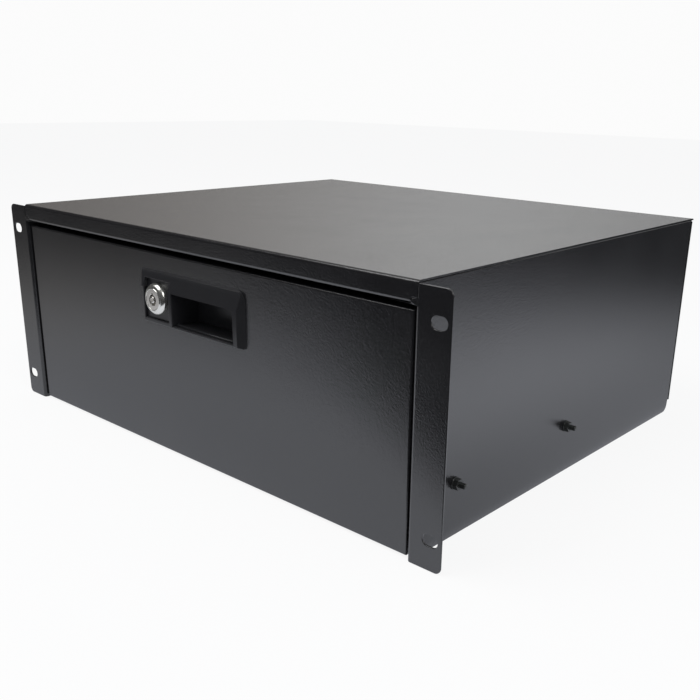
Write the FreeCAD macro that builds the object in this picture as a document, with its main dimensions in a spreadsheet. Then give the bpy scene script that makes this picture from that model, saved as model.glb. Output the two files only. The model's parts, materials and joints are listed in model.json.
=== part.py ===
# A lockable 4U drawer for a 19-inch rack: a folded steel housing with rack ears, a folded
# drawer that runs in it on two three-member ball-bearing slides, a moulded finger-pull
# bezel and a tubular-key cam lock.
#
# Frame: millimetres. X runs to the right as seen from the front, Y to the rear, Z up. The
# origin is the centre of the four rack slots, on the front face of the ears.

import FreeCAD, Part
import math
import os
import re
import Sketcher
from FreeCAD import Vector

doc = FreeCAD.newDocument("rack_drawer")
table = doc.addObject("Spreadsheet::Sheet", "Sizes")

driving = [
    # rack interface
    ("ear_width", 24.4, "rack ear beyond the side wall"),
    ("ear_height", 173.8, "height of the ears and side walls"),
    ("ear_corner", 4.5, "outer corner radius of an ear"),
    ("slot_inset", 8.75, "slot centre from the ear's outer edge"),
    ("slot_pitch_z", 133.35, "rack slots, centre to centre upright"),
    ("slot_length", 11.6, "rack slot, end to end"),
    ("slot_width", 7.8, "rack slot height"),
    # housing
    ("housing_width", 433.8, "outside of the side walls"),
    ("housing_depth", 380, "front face of the ears to the rear of the top panel"),
    ("panel_sheet", 1.5, "housing sheet thickness"),
    ("bend_inside", 1.0, "inside radius of every housing fold"),
    ("header_drop", 13.9, "height of the header above the drawer"),
    ("header_return", 14, "depth of the header's lower return"),
    ("rear_drop", 16, "height of the top panel's rear flange"),
    ("weld_flange", 12, "width of the walls' upper weld flange"),
    ("foot_flange", 17, "width of the walls' foot flange"),
    ("rear_flange", 16, "width of the walls' rear flange"),
    ("flange_start", 22, "front end of weld and foot flanges"),
    ("wall_corner", 7, "rear lower corner radius of a wall"),
    ("rear_rise", 10, "rear panel's lower edge above the walls' lower edge"),
    ("rear_fold", 12, "depth of the rear panel's lower stiffening fold"),
    ("rear_fold_gap", 2, "end of that fold to a wall's rear flange"),
    ("tab_width", 5.2, "corner tab between ear and header"),
    ("tab_height", 3.6, "height of the corner tab"),
    ("tab_slope", 1.0, "corner cut off the tab"),
    ("seam", 0.15, "gap left in a butted seam"),
    ("rivet_radius", 2.0, "rivet shank"),
    ("rivet_head_radius", 3.6, "rivet head"),
    ("rivet_head", 1.2, "rivet head height"),
    ("rivet_tail", 1.5, "rivet's closed end"),
    ("rivet_edge", 10, "corner rivets from the ends of the rear flanges"),
    ("rivet_offset", 1.0, "rivet line off the middle of a flange"),
    # drawer front
    ("front_recess", 2.1, "drawer front behind the ears' face"),
    ("front_side_gap", 2.4, "drawer front to side wall"),
    ("header_gap", 3.9, "drawer front to header"),
    ("front_rise", 1.7, "drawer front's lower edge above the walls' lower edge"),
    ("front_sheet", 1.5, "drawer front sheet"),
    ("front_depth", 12, "depth of the drawer front's folded rim"),
    ("front_lip", 24, "width of the rim's inturned lips"),
    ("front_bend", 1.3, "outside radius of the drawer front's folds"),
    ("lip_drop", 2, "lips' upper ends below the rim"),
    # drawer tray
    ("tray_sheet", 1.2, "drawer tray sheet"),
    ("tray_bend", 1.0, "inside radius of the tray's folds"),
    ("tray_top_gap", 12.6, "tray walls' top below the drawer front's top"),
    ("tray_rise", 5.2, "tray floor above the drawer front's lower edge"),
    ("tray_rear_gap", 0.9, "tray to the rear panel's fold"),
    ("tray_hem", 10, "inturned hem along the tray walls"),
    ("tray_flange", 16, "front flange of the tray"),
    ("front_screw_low", 26, "lowest side screw above the tray floor"),
    ("front_screw_high", 14, "highest side screw below the tray's top"),
    # slides
    ("slide_width", 12.7, "wall to tray"),
    ("slide_height", 45.7, "height of the outer member"),
    ("slide_start", 17, "front end of the closed slide"),
    ("slide_end_gap", 13, "closed slide's rear end to the rear of the top panel"),
    ("slide_rise", 37.9, "slide centre line above the walls' lower edge"),
    ("slide_sheet", 1.0, "member sheet thickness"),
    ("ball_radius", 1.6, "bearing ball"),
    ("race_gap", 0.12, "running clearance of ball and race"),
    ("row_shift", 3.4, "outer to inner ball row, across"),
    ("web_slope", 25, "slope of the middle member's flange, degrees"),
    ("middle_web", 4.4, "centre of the middle member's web from the wall"),
    ("cage_sheet", 0.4, "ball cage strip thickness"),
    ("cage_length", 160, "ball cage length"),
    ("cage_arm", 1.2, "cage strip beyond the ball centres"),
    ("cage_bend", 0.6, "cage fold radius on its centre line"),
    ("cage_clear", 0.3, "outer cage to the screw heads"),
    ("cage_hole_gap", 0.1, "ball in its cage hole"),
    ("ball_pitch", 14, "ball to ball within a group"),
    ("ball_end", 8, "cage end to first ball"),
    ("fixing_front", 45, "first slide fixing behind the ears' face"),
    ("fixing_pitch", 139.5, "slide fixing to slide fixing"),
    ("fixing_end", 29, "rear fixing of the drawer member from its rear end"),
    ("access_radius", 5, "screwdriver hole in the middle member"),
    ("lever_length", 62, "release lever"),
    ("lever_start", 198, "release lever behind the drawer member's front end"),
    ("lever_height", 9, "release lever at its thumb end"),
    ("lever_waist", 4.5, "release lever at its spring arm"),
    ("lever_sheet", 1.6, "release lever thickness"),
    ("lever_tab", 3.2, "thumb tab's reach from the web"),
    # fasteners
    ("screw_radius", 2.0, "M4 screw shank"),
    ("screw_clearance", 0.25, "M4 screw in a plain hole"),
    ("screw_head_radius", 3.6, "M4 low head"),
    ("screw_head", 1.6, "M4 low head height"),
    ("screw_proud", 9.0, "slide screw end beyond the wall"),
    ("nut_flats", 7.0, "M4 nut across flats"),
    ("nut_height", 3.2, "M4 nut height"),
    ("washer_radius", 4.4, "M4 washer"),
    ("washer_sheet", 0.9, "M4 washer thickness"),
    ("thread_gap", 0.05, "screw in nut"),
    ("front_screw_end", 4, "front screw beyond the lip"),
    ("slide_screw_end", 0.8, "tray screw beyond the drawer member"),
    ("screw_point", 0.6, "chamfer at a screw's end"),
    # bezel
    ("bezel_left", -49.3, "bezel base, left edge"),
    ("bezel_right", 68.0, "bezel base, right edge"),
    ("bezel_low", 16.6, "bezel base, lower edge"),
    ("bezel_high", 57.8, "bezel base, upper edge"),
    ("bezel_corner", 3.0, "base corner radius"),
    ("bezel_brow_corner", 8.5, "base corner radius at the brow's right end"),
    ("bezel_plate", 2.6, "plate round the lock proud of the drawer front"),
    ("bezel_draft", 4.0, "how far the bezel's sides taper in"),
    ("sill_rise", 1.6, "sill's lower edge above the base's"),
    ("sill_proud", 4.7, "frame proud of the drawer front at its sill"),
    ("lip_proud", 5.0, "brow proud of the drawer front at its lip"),
    ("brow_proud", 2.6, "brow proud of the drawer front below its ridge"),
    ("brow_drop", 3.4, "brow's upper bend below the base's upper edge"),
    ("ridge_proud", 1.8, "ridge proud of the drawer front"),
    ("ridge_drop", 1.2, "ridge below the base's upper edge"),
    ("leg_width", 2.6, "brow's return beside the lock"),
    ("pull_left", -9.0, "finger opening, left"),
    ("pull_right", 59.3, "finger opening, right"),
    ("pull_low", 19.7, "finger opening, lower edge"),
    ("pull_high", 44.1, "finger opening, brow lip"),
    ("pull_depth", 21, "finger pocket depth behind the drawer front"),
    ("pull_rise", 8, "pocket height above the brow lip, behind it"),
    ("mould_wall", 1.8, "moulded wall"),
    ("divider", 4.0, "post between lock recess and finger opening"),
    ("recess_left", -45.2, "lock recess, left edge"),
    ("recess_low", 20.6, "lock recess, lower edge"),
    ("recess_high", 51.4, "lock recess, upper edge"),
    ("recess_floor", 0.6, "recess floor proud of the drawer front"),
    ("bezel_fit", 0.3, "bezel in its cut-out"),
    # lock
    ("lock_x", -29.8, "lock axis"),
    ("lock_z", 36.5, "lock axis"),
    ("collar_radius", 12.1, "lock collar"),
    ("collar_height", 6.2, "lock collar height"),
    ("collar_rim", 1.0, "straight edge of the collar"),
    ("collar_bow", 0.8, "how far the collar's dome swells"),
    ("face_radius", 8.4, "flat front of the collar"),
    ("barrel_radius", 9.3, "threaded barrel"),
    ("barrel_length", 17, "barrel behind the drawer front's face"),
    ("lock_nut_flats", 22.5, "lock nut across flats"),
    ("lock_nut_height", 3.0, "lock nut"),
    ("plug_radius", 6.6, "turning plug"),
    ("plug_fit", 0.05, "plug in barrel"),
    ("keyway_outer", 4.0, "ring keyway, outside"),
    ("keyway_inner", 2.9, "ring keyway, inside"),
    ("keyway_depth", 6, "ring keyway depth"),
    ("keyway_notch", 1.6, "index notch, square"),
    ("keyway_bore", 0.9, "hole in the middle of the plug"),
    ("plug_sink", 0.2, "plug behind the collar's face"),
    ("cam_reach", 46, "cam, lock axis to tip"),
    ("cam_width", 15, "cam width"),
    ("cam_sheet", 2.0, "cam thickness"),
    ("cam_gap", 0.3, "barrel end to cam"),
    ("cam_nose", 4, "cam's sloping nose"),
    ("cam_fit", 0.05, "cam round the square drive"),
    ("cam_square", 7.0, "square drive on the plug"),
    ("cam_screw_radius", 2.5, "cam screw"),
    ("cam_screw_length", 8, "cam screw in the plug"),
    ("cam_screw_head", 3.0, "cam screw head height"),
    ("cam_screw_head_radius", 4.6, "cam screw head"),
]

for row, (name, amount, meaning) in enumerate(driving, start=1):
    table.set(f"A{row}", name)
    table.set(f"B{row}", str(amount))
    table.set(f"C{row}", meaning)
    table.setAlias(f"B{row}", name)
doc.recompute()

aliasPattern = re.compile(r"\b(" + "|".join(name for name, amount, meaning in driving) + r")\b")

# derived lengths, each a formula of the driving ones
formulas = {
    "ear_edge": "(housing_width / 2 + ear_width)",
    "slot_x": "(housing_width / 2 + ear_width - slot_inset)",
    "wall_outer": "(housing_width / 2)",
    "wall_inner": "(housing_width / 2 - panel_sheet)",
    "wall_low": "(-ear_height / 2)",
    "wall_high": "(ear_height / 2)",
    "roof": "(ear_height / 2 + panel_sheet)",
    "header_low": "(ear_height / 2 + panel_sheet - header_drop)",
    "bend_outside": "(bend_inside + panel_sheet)",
    "wall_depth": "(housing_depth - 2 * panel_sheet)",
    "rear_rivet_z": "(ear_height / 2 + panel_sheet - rear_drop / 2 - rivet_offset)",
    "flange_rivet_x": "(housing_width / 2 - rear_flange / 2 - rivet_offset)",
    "rivet_spread": "((housing_width / 2 - panel_sheet) * 0.6)",
    "front_half": "(housing_width / 2 - panel_sheet - front_side_gap)",
    "front_low": "(-ear_height / 2 + front_rise)",
    "front_high": "(ear_height / 2 + panel_sheet - header_drop - header_gap)",
    "front_back": "(front_recess + front_depth)",
    "bend_flange": "(tray_bend + tray_sheet)",
    "tray_half": "(housing_width / 2 - panel_sheet - slide_width)",
    "tray_floor": "(-ear_height / 2 + front_rise + tray_rise)",
    "tray_top": "(ear_height / 2 + panel_sheet - header_drop - header_gap - tray_top_gap)",
    "tray_back": "(housing_depth - 2 * panel_sheet - rear_fold - tray_rear_gap)",
    "slide_z": "(-ear_height / 2 + slide_rise)",
    "slide_length": "(housing_depth - slide_start - slide_end_gap)",
    "cage_start": "(slide_start + (housing_depth - slide_start - slide_end_gap"
                  " - cage_length) / 2)",
    "fixing_rear": "(housing_depth - slide_end_gap - fixing_end)",
    "pull_top": "(pull_high + pull_rise)",
    "recess_right": "(pull_left - divider)",
    "collar_back": "(front_recess - recess_floor)",
    "barrel_back": "(front_recess + barrel_length)",
}
formulaPattern = re.compile(r"\b(" + "|".join(formulas) + r")\b")


def spell(formula):
    # writes a formula's derived names out and points its sizes at the sheet
    text = formulaPattern.sub(lambda found: formulas[found.group(1)], str(formula))
    return aliasPattern.sub(r"Sizes.\1", text)


def length(formula):
    return float(table.evalExpression(spell(formula)))


def bind(thing, propertyName, formula):
    thing.setExpression(propertyName, spell(formula))


# Sketches. A corner is (across, up) or (across, up, radius), each a formula; a radius is for
# a right-angled corner only. Circles are (across, up, radius) tuples of their own.

def addLoop(sketch, corners):
    count = len(corners)
    spots = [(length(corner[0]), length(corner[1])) for corner in corners]
    geometry = []
    turns = []
    pins = []
    for index, corner in enumerate(corners):
        here = spots[index]
        radius = length(corner[2]) if len(corner) > 2 else 0
        if not radius:
            pins.append([(here, corner[0], corner[1])])
            continue
        stops = []
        for other in (spots[index - 1], spots[(index + 1) % count]):
            acrossSign = (other[0] > here[0] + 1e-9) - (other[0] < here[0] - 1e-9)
            upSign = (other[1] > here[1] + 1e-9) - (other[1] < here[1] - 1e-9)
            point = (here[0] + acrossSign * radius, here[1] + upSign * radius)
            across = f"({corner[0]}) + {acrossSign} * ({corner[2]})"
            up = f"({corner[1]}) + {upSign} * ({corner[2]})"
            stops.append((point, across, up))
        pins.append(stops)
    base = sketch.GeometryCount
    constraints = []
    bindings = []
    ends = []
    for index, stops in enumerate(pins):
        if len(stops) == 2:
            first, last = stops[0][0], stops[1][0]
            here = spots[index]
            centre = (first[0] + last[0] - here[0], first[1] + last[1] - here[1])
            begin = math.atan2(first[1] - centre[1], first[0] - centre[0])
            finish = math.atan2(last[1] - centre[1], last[0] - centre[0])
            forward = (finish - begin) % (2 * math.pi) < math.pi
            if not forward:
                begin, finish = finish, begin
            circle = Part.Circle(Vector(*centre, 0), Vector(0, 0, 1), length(corners[index][2]))
            geometry.append(Part.ArcOfCircle(circle, begin, finish))
            turns.append(forward)
        following = pins[(index + 1) % count]
        start, stop = stops[-1], following[0]
        geometry.append(Part.LineSegment(Vector(*start[0], 0), Vector(*stop[0], 0)))
    sketch.addGeometry(geometry, False)
    number = base
    for index, stops in enumerate(pins):
        if len(stops) == 2:
            forward = turns.pop(0)
            ends.append((number, 1 if forward else 2, 2 if forward else 1))
            constraints.append(Sketcher.Constraint("Radius", number, length(corners[index][2])))
            bindings.append(corners[index][2])
            number += 1
        ends.append((number, 1, 2))
        start = stops[-1]
        for kind, value, formula in (("DistanceX", start[0][0], start[1]),
                                     ("DistanceY", start[0][1], start[2])):
            constraints.append(Sketcher.Constraint(kind, -1, 1, number, 1, value))
            bindings.append(formula)
        following = pins[(index + 1) % count]
        if len(following) == 2:
            stop = following[0]
            for kind, value, formula in (("DistanceX", stop[0][0], stop[1]),
                                         ("DistanceY", stop[0][1], stop[2])):
                constraints.append(Sketcher.Constraint(kind, -1, 1, number, 2, value))
                bindings.append(formula)
        number += 1
    for place, (number, first, last) in enumerate(ends):
        following = ends[(place + 1) % len(ends)]
        joint = Sketcher.Constraint("Coincident", number, last, following[0], following[1])
        constraints.append(joint)
        bindings.append(None)
    offset = sketch.ConstraintCount
    sketch.addConstraint(constraints)
    for place, formula in enumerate(bindings):
        if formula is not None:
            bind(sketch, f"Constraints[{offset + place}]", formula)


def addCircle(sketch, across, up, radius):
    number = sketch.GeometryCount
    centre = Vector(length(across), length(up), 0)
    sketch.addGeometry([Part.Circle(centre, Vector(0, 0, 1), length(radius))], False)
    offset = sketch.ConstraintCount
    sketch.addConstraint([
        Sketcher.Constraint("Radius", number, length(radius)),
        Sketcher.Constraint("DistanceX", -1, 1, number, 3, length(across)),
        Sketcher.Constraint("DistanceY", -1, 1, number, 3, length(up)),
    ])
    for place, formula in enumerate((radius, across, up)):
        bind(sketch, f"Constraints[{offset + place}]", formula)


def addSketch(body, name, plane, start, loops, circles):
    sketch = body.newObject("Sketcher::SketchObject", name + "_sketch")
    role = plane + "_Plane"
    face = next(item for item in body.Origin.OriginFeatures if item.Role == role)
    sketch.AttachmentSupport = [(face, "")]
    sketch.MapMode = "FlatFace"
    side = "-1" if plane == "XZ" else "1"
    bind(sketch, ".AttachmentOffset.Base.z", f"{side} * ({start})")
    for corners in loops:
        addLoop(sketch, corners)
    for across, up, radius in circles:
        addCircle(sketch, across, up, radius)
    return sketch


cuts = []


def addPad(body, name, plane, start, reach, loops=(), circles=()):
    # adds material from start to start + reach along the plane's world axis
    sketch = addSketch(body, name, plane, start, loops, circles)
    pad = body.newObject("PartDesign::Pad", name)
    pad.Profile = sketch
    pad.Reversed = plane == "XZ"
    bind(pad, "Length", reach)
    sketch.Visibility = False
    return pad


def addCut(body, name, plane, start, reach, loops=(), circles=()):
    # removes material from start to start + reach along the plane's world axis
    base = body.Tip
    sketch = addSketch(body, name, plane, start, loops, circles)
    pocket = body.newObject("PartDesign::Pocket", name)
    pocket.Profile = sketch
    pocket.Reversed = plane != "XZ"
    bind(pocket, "Length", reach)
    cuts.append((pocket, base))
    return pocket


def addFillet(body, name, radius, chosen):
    # rounds the edges whose centre and bounding box pass the chosen test
    doc.recompute()
    base = body.Tip
    edges = [f"Edge{number}" for number, edge in enumerate(base.Shape.Edges, start=1)
             if chosen(edge)]
    if not edges:
        raise ValueError(f"{body.Label}: no edge for {name}")
    fillet = body.newObject("PartDesign::Fillet", name)
    fillet.Base = (base, edges)
    bind(fillet, "Radius", radius)
    return fillet


def newBody(label):
    body = doc.addObject("PartDesign::Body", label)
    body.Label = label
    return body


def mirrorX(source, label):
    twin = doc.addObject("Part::Mirroring", label)
    twin.Label = label
    twin.Source = source
    twin.Normal = Vector(1, 0, 0)
    return twin


def box(left, low, right, high):
    return [(left, low), (right, low), (right, high), (left, high)]


nodes = []


def keep(*things):
    nodes.extend(things)


# Housing ---------------------------------------------------------------------------------

rivetHeights = ("wall_low + rear_rise + rivet_edge", "0", "wall_high - rear_drop - rivet_edge")
rivetRow = ("-rivet_spread", "0", "rivet_spread")


def makeTopPanel():
    # one sheet: header with its return at the front, roof, rear flange
    body = newBody("top_panel")
    addPad(body, "roof_fold", "YZ", "-housing_width / 2", "housing_width", [[
        ("header_return", "header_low"),
        ("0", "header_low", "bend_outside"),
        ("0", "roof", "bend_outside"),
        ("housing_depth", "roof", "bend_outside"),
        ("housing_depth", "roof - rear_drop"),
        ("housing_depth - panel_sheet", "roof - rear_drop"),
        ("housing_depth - panel_sheet", "wall_high", "bend_inside"),
        ("panel_sheet", "wall_high", "bend_inside"),
        ("panel_sheet", "header_low + panel_sheet", "bend_inside"),
        ("header_return", "header_low + panel_sheet"),
    ]])
    # the flanges stop short of the side walls, and the header leaves room for the tabs
    for side, name in ((1, "right"), (-1, "left")):
        edge = f"{side} * (housing_width / 2 + 1)"
        front = f"{side} * (wall_outer - seam)"
        inner = f"{side} * (wall_inner - seam)"
        tab = f"{side} * (wall_outer - tab_width)"
        slope = f"{side} * (wall_outer - tab_width + tab_slope)"
        addCut(body, f"header_end_{name}", "XZ", "-1", "panel_sheet + 1", [[
            (front, "wall_high"),
            (edge, "wall_high"),
            (edge, "header_low - 1"),
            (tab, "header_low - 1"),
            (tab, "header_low + tab_height - tab_slope"),
            (slope, "header_low + tab_height"),
            (front, "header_low + tab_height"),
        ]])
        addCut(body, f"fold_end_{name}", "XZ", "panel_sheet", "header_return",
               [box(inner, "header_low - 1", edge, "wall_high")])
        addCut(body, f"rear_end_{name}", "XZ", "housing_depth - panel_sheet - bend_inside",
               "panel_sheet + bend_inside + 1",
               [box(inner, "roof - rear_drop - 1", edge, "wall_high")])
    addCut(body, "rivet_holes", "XZ", "housing_depth - panel_sheet - 1", "panel_sheet + 2",
           circles=[(across, "rear_rivet_z", "rivet_radius") for across in rivetRow])
    return body




def makeSidePanel():
    # one sheet: rack ear, wall and rear flange, with a weld flange above and a foot below
    body = newBody("right_side_panel")
    addPad(body, "wall_fold", "XY", "wall_low", "ear_height", [[
        ("ear_edge", "0"),
        ("wall_inner", "0", "bend_outside"),
        ("wall_inner", "wall_depth - panel_sheet", "bend_inside"),
        ("wall_outer - rear_flange", "wall_depth - panel_sheet"),
        ("wall_outer - rear_flange", "wall_depth"),
        ("wall_outer", "wall_depth", "bend_outside"),
        ("wall_outer", "panel_sheet", "bend_inside"),
        ("ear_edge", "panel_sheet"),
    ]])
    runs = "wall_depth - flange_start - rear_flange"
    addPad(body, "weld_flange_pad", "XZ", "flange_start", runs,
           [box("wall_inner - weld_flange", "wall_high - panel_sheet",
                "wall_inner + panel_sheet / 2", "wall_high")])
    addPad(body, "foot_flange_pad", "XZ", "flange_start", runs,
           [box("wall_inner - foot_flange", "wall_low",
                "wall_inner + panel_sheet / 2", "wall_low + panel_sheet")])
    addCut(body, "header_notch", "XY", "header_low + tab_height",
           "ear_height", [box("wall_inner - 1", "-1", "wall_outer - seam / 3",
                              "bend_outside + seam")])
    addPad(body, "corner_tab", "XZ", "0", "panel_sheet", [[
        ("wall_outer - tab_width + seam", "header_low"),
        ("wall_outer + bend_inside", "header_low"),
        ("wall_outer + bend_inside", "header_low + tab_height - seam"),
        ("wall_outer - tab_width + tab_slope + seam", "header_low + tab_height - seam"),
        ("wall_outer - tab_width + seam", "header_low + tab_height - tab_slope - seam"),
    ]])
    addCut(body, "rear_relief", "XY", "wall_low - 1", "rear_rise + 1",
           [box("wall_inner - rear_flange - 1", "wall_depth - bend_outside",
                "wall_outer + 1", "wall_depth + 1")])
    half = "slot_length / 2"
    loops = []
    for up in ("slot_pitch_z / 2", "-slot_pitch_z / 2"):
        loops.append([
            (f"slot_x - {half}", f"{up} - slot_width / 2", "slot_width / 2 - 0.01"),
            (f"slot_x + {half}", f"{up} - slot_width / 2", "slot_width / 2 - 0.01"),
            (f"slot_x + {half}", f"{up} + slot_width / 2", "slot_width / 2 - 0.01"),
            (f"slot_x - {half}", f"{up} + slot_width / 2", "slot_width / 2 - 0.01"),
        ])
    addCut(body, "rack_slots", "XZ", "-1", "panel_sheet + 2", loops)
    hole = "screw_radius + screw_clearance"
    addCut(body, "slide_holes", "YZ", "wall_inner - 1", "panel_sheet + 2", circles=[
        ("fixing_front", "slide_z", hole),
        ("fixing_front + fixing_pitch", "slide_z", hole),
    ])
    addCut(body, "rivet_holes", "XZ", "wall_depth - panel_sheet - 1", "panel_sheet + 2",
           circles=[("flange_rivet_x", up, "rivet_radius") for up in rivetHeights])
    high = length("wall_high")
    span = length("ear_edge")
    addFillet(body, "ear_corners", "ear_corner",
              lambda edge: abs(edge.CenterOfMass.x - span) < 0.1
              and abs(abs(edge.CenterOfMass.z) - high) < 0.1 and edge.BoundBox.YLength > 1)
    stop = length("wall_depth - bend_outside")
    addFillet(body, "wall_corners", "wall_corner",
              lambda edge: abs(edge.CenterOfMass.y - stop) < 0.1
              and abs(edge.CenterOfMass.z + high) < 0.1 and edge.BoundBox.XLength > 1)
    return body




def makeRearPanel():
    # flat rear panel behind the walls' rear flanges, with a stiffening fold at its foot
    body = newBody("rear_panel")
    addPad(body, "rear_fold", "YZ", "-wall_outer + seam", "2 * (wall_outer - seam)", [
        box("wall_depth", "wall_low + rear_rise",
            "wall_depth + panel_sheet", "wall_high - bend_inside")])
    fold = "wall_inner - rear_flange - rear_fold_gap"
    addPad(body, "foot_fold", "YZ", f"-({fold})", f"2 * ({fold})", [
        box("wall_depth - rear_fold", "wall_low + rear_rise",
            "wall_depth + panel_sheet / 2", "wall_low + rear_rise + panel_sheet")])
    circles = [(f"{side} * flange_rivet_x", up, "rivet_radius")
               for side in (1, -1) for up in rivetHeights]
    circles += [(across, "rear_rivet_z", "rivet_radius") for across in rivetRow]
    addCut(body, "rivet_holes", "XZ", "wall_depth - 1", "panel_sheet + 2", circles=circles)
    return body


# Revolved fasteners ----------------------------------------------------------------------

def turned(profile, origin, axis):
    # revolves (distance along the axis, radius) points about the axis through origin
    axis = Vector(*axis)
    points = [Vector(*origin) + axis * along + Vector(0, 0, radius)
              for along, radius in profile]
    face = Part.Face(Part.makePolygon(points + points[:1]))
    return face.revolve(Vector(*origin), axis, 360)


def feature(label, solids):
    thing = doc.addObject("Part::Feature", label)
    thing.Label = label
    solids = list(solids)
    thing.Shape = solids[0] if len(solids) == 1 else Part.makeCompound(solids)
    return thing


def makeRivets():
    # blind rivets with a low chamfered head outside and a closed end inside
    shank = length("rivet_radius")
    head = length("rivet_head_radius")
    cap = length("rivet_head")
    grip = length("2 * panel_sheet")
    tail = length("rivet_tail")
    profile = [(-grip - tail, 0), (-grip - tail, shank), (0, shank), (0, head),
               (cap / 3, head), (cap, head * 0.55), (cap, 0)]
    seats = [(side * length("flange_rivet_x"), length("wall_depth + panel_sheet"), length(up))
             for side in (1, -1) for up in rivetHeights]
    seats += [(length(across), length("housing_depth"), length("rear_rivet_z"))
              for across in rivetRow]
    return feature("rear_rivets", [turned(profile, seat, (0, 1, 0)) for seat in seats])


def headedScrew(grip, reach):
    # profile of a low-headed screw: its head stands off by grip, its point lies at reach
    shank = length("screw_radius")
    head = length("screw_head_radius")
    cap = length("screw_head")
    point = length("screw_point")
    return [(-grip - cap, 0), (-grip - cap, head * 0.75), (-grip - cap * 0.4, head),
            (-grip, head), (-grip, shank), (reach - point, shank),
            (reach, shank - point), (reach, 0)]


def fixingPlaces():
    return [length("fixing_front"), length("fixing_front + fixing_pitch")]


def makeSlideScrews():
    # from inside the slide, out through the wall
    profile = headedScrew(length("slide_sheet"), length("panel_sheet + screw_proud"))
    wall = length("wall_inner")
    up = length("slide_z")
    return feature("slide_screws", [turned(profile, (side * wall, along, up), (side, 0, 0))
                                    for side in (1, -1) for along in fixingPlaces()])


def makeSlideWashers():
    wall = length("wall_outer")
    bore = length("screw_radius + screw_clearance")
    rim = length("washer_radius")
    sheet = length("washer_sheet")
    profile = [(0, bore), (0, rim), (sheet, rim), (sheet, bore)]
    up = length("slide_z")
    return feature("slide_washers", [turned(profile, (side * wall, along, up), (side, 0, 0))
                                     for side in (1, -1) for along in fixingPlaces()])


def hexNut(flats, height, bore):
    # nut along +X from the origin, chamfered on its outer face
    rim = flats / math.sqrt(3)
    points = [Vector(0, rim * math.cos(math.radians(60 * k)), rim * math.sin(math.radians(60 * k)))
              for k in range(7)]
    prism = Part.Face(Part.makePolygon(points)).extrude(Vector(height, 0, 0))
    bevel = (rim - flats / 2) * 0.6
    crown = turned([(0, 0), (0, rim + 1), (height - bevel, rim + 1), (height - bevel, rim),
                    (height, flats / 2), (height, 0)], (0, 0, 0), (1, 0, 0))
    hole = Part.makeCylinder(bore, height + 2, Vector(-1, 0, 0), Vector(1, 0, 0))
    return prism.common(crown).cut(hole)


def makeSlideNuts():
    nut = hexNut(length("nut_flats"), length("nut_height"), length("screw_radius + thread_gap"))
    start = length("wall_outer + washer_sheet")
    solids = []
    for side in (1, -1):
        for along in fixingPlaces():
            copy = nut.copy()
            if side < 0:
                copy.rotate(Vector(0, 0, 0), Vector(0, 0, 1), 180)
            copy.translate(Vector(side * start, along, length("slide_z")))
            solids.append(copy)
    return feature("slide_nuts", solids)


# Ball-bearing slides ---------------------------------------------------------------------

def strip(path, radii, thickness):
    # closed wire of constant thickness about an open centre line with rounded corners
    def offsetSide(side):
        lines = []
        for start, stop in zip(path, path[1:]):
            run = Vector(*stop, 0) - Vector(*start, 0)
            normal = Vector(-run.y, run.x, 0).normalize() * (thickness / 2 * side)
            lines.append((Vector(*start, 0) + normal, Vector(*stop, 0) + normal))
        edges = []
        begin = lines[0][0]
        for index, radius in enumerate(radii):
            first, second = lines[index], lines[index + 1]
            ahead = (first[1] - first[0]).normalize()
            after = (second[1] - second[0]).normalize()
            turn = ahead.cross(after).z
            gap = second[0] - first[0]
            corner = first[0] + ahead * (gap.cross(after).z / turn)
            bend = radius - thickness / 2 * side * math.copysign(1, turn)
            angle = math.acos(max(-1, min(1, ahead.dot(after))))
            back = bend * math.tan(angle / 2)
            inward = Vector(-ahead.y, ahead.x, 0) * math.copysign(bend, turn)
            centre = corner - ahead * back + inward
            crown = centre + (corner - centre).normalize() * bend
            enter = corner - ahead * back
            if (enter - begin).Length > 1e-4:
                edges.append(Part.LineSegment(begin, enter).toShape())
            else:
                enter = begin
            edges.append(Part.Arc(enter, crown, corner + after * back).toShape())
            begin = corner + after * back
        edges.append(Part.LineSegment(begin, lines[-1][1]).toShape())
        return edges

    left = offsetSide(1)
    right = offsetSide(-1)
    caps = [Part.LineSegment(left[0].Vertexes[0].Point, right[0].Vertexes[0].Point).toShape(),
            Part.LineSegment(left[-1].Vertexes[-1].Point, right[-1].Vertexes[-1].Point).toShape()]
    return Part.Wire(Part.__sortEdges__(left + right + caps))


def mirroredPath(half):
    # half a section, from the web outwards, to the whole centre line
    lower = [(across, -up) for across, up in reversed(half)]
    return lower + list(half)


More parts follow.
